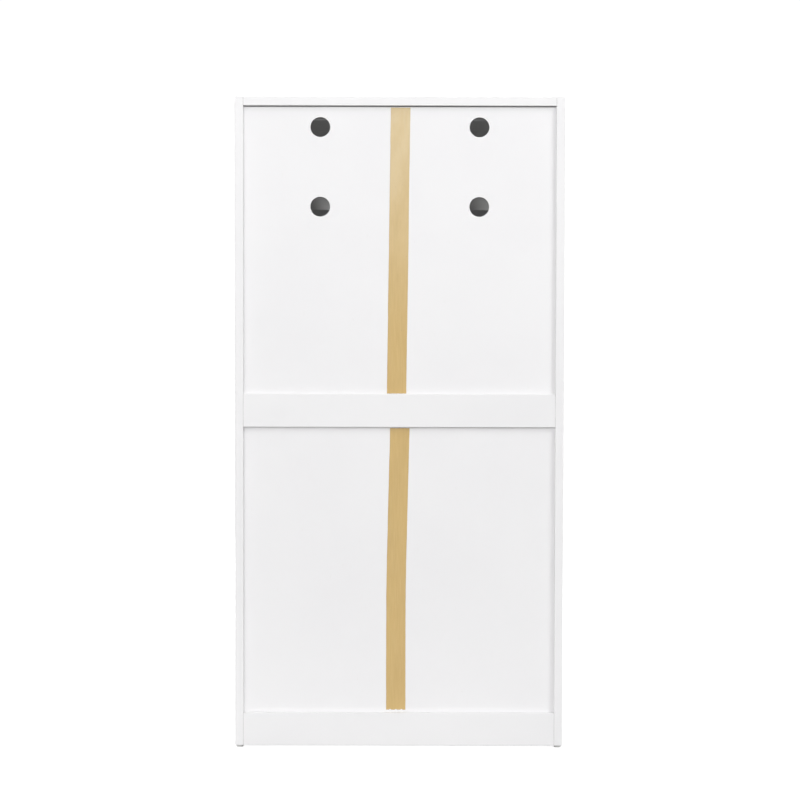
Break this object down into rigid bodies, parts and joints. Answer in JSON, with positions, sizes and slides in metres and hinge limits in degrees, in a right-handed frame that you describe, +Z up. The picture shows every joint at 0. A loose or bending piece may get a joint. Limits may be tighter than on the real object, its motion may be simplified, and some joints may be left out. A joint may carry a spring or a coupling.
{
  "type": "shoe cabinet",
  "caption": "Slim upright shoe cabinet with flip-down bins holding slanted shoe tiers, a taped folding back with round vent holes, and plain bar handles.",
  "frame": {"origin": "on the floor, under the middle of the whole object including its handles", "axes": "+Z up, front with the bin doors towards -Y, back panels towards +Y, +X to the right seen from the front"},
  "size_m": [0.6, 0.268, 1.19],
  "materials": {
    "coated_board": "white melamine-coated board, satin",
    "door_board": "white melamine-coated board, satin",
    "shelf_board": "white coated thin board, satin",
    "back_hardboard": "white lacquered hardboard, matt",
    "paper_tape": "tan kraft paper tape, matt",
    "white_plastic": "moulded, matt",
    "nylon": "moulded, satin",
    "steel": "bright",
    "handle_steel": "brushed",
    "zinc": "plated",
    "beech": "bare wood"
  },
  "bodies": {
    "carcass": {"left_side_panel": "coated_board", "right_side_panel": "coated_board", "top_panel": "coated_board", "bottom_board": "coated_board", "front_plinth": "coated_board", "rear_plinth_rail": "coated_board", "rear_middle_rail": "coated_board", "upper_back_leaf_left": "back_hardboard", "upper_back_leaf_right": "back_hardboard", "lower_back_leaf_left": "back_hardboard", "lower_back_leaf_right": "back_hardboard", "upper_fold_tape": "paper_tape", "lower_fold_tape": "paper_tape", "cam_locks": "zinc", "cam_bolts": "steel", "wood_dowels": "beech", "pivot_bushes": "nylon", "stop_pins": "steel", "floor_glides": "white_plastic"},
    "bottom_bin": {"bottom_bin_door": "door_board", "bottom_bin_handle": "handle_steel", "bottom_bin_handle_screws": "steel", "bottom_bin_left_frame": "white_plastic", "bottom_bin_right_frame": "white_plastic", "bottom_bin_frame_screws": "zinc", "bottom_bin_pivot_pins": "steel", "bottom_bin_lower_shelf": "shelf_board", "bottom_bin_lower_toe_board": "shelf_board", "bottom_bin_upper_shelf": "shelf_board", "bottom_bin_upper_toe_board": "shelf_board"},
    "middle_bin": {"middle_bin_door": "door_board", "middle_bin_handle": "handle_steel", "middle_bin_handle_screws": "steel", "middle_bin_left_frame": "white_plastic", "middle_bin_right_frame": "white_plastic", "middle_bin_frame_screws": "zinc", "middle_bin_pivot_pins": "steel", "middle_bin_lower_shelf": "shelf_board", "middle_bin_lower_toe_board": "shelf_board", "middle_bin_upper_shelf": "shelf_board", "middle_bin_upper_toe_board": "shelf_board"},
    "top_bin": {"top_bin_door": "door_board", "top_bin_handle": "handle_steel", "top_bin_handle_screws": "steel", "top_bin_left_frame": "white_plastic", "top_bin_right_frame": "white_plastic", "top_bin_frame_screws": "zinc", "top_bin_pivot_pins": "steel", "top_bin_lower_shelf": "shelf_board", "top_bin_lower_toe_board": "shelf_board", "top_bin_upper_shelf": "shelf_board", "top_bin_upper_toe_board": "shelf_board"}
  },
  "joints": [
    {"name": "bottom_bin_pivot", "type": "hinge", "parent": "carcass", "child": "bottom_bin", "pos_m": [0, -0.084, 0.155], "axis": [1, 0, 0], "range_deg": [0, 45]},
    {"name": "middle_bin_pivot", "type": "hinge", "parent": "carcass", "child": "middle_bin", "pos_m": [0, -0.084, 0.525], "axis": [1, 0, 0], "range_deg": [0, 45]},
    {"name": "top_bin_pivot", "type": "hinge", "parent": "carcass", "child": "top_bin", "pos_m": [0, -0.084, 0.895], "axis": [1, 0, 0], "range_deg": [0, 45]}
  ]
}
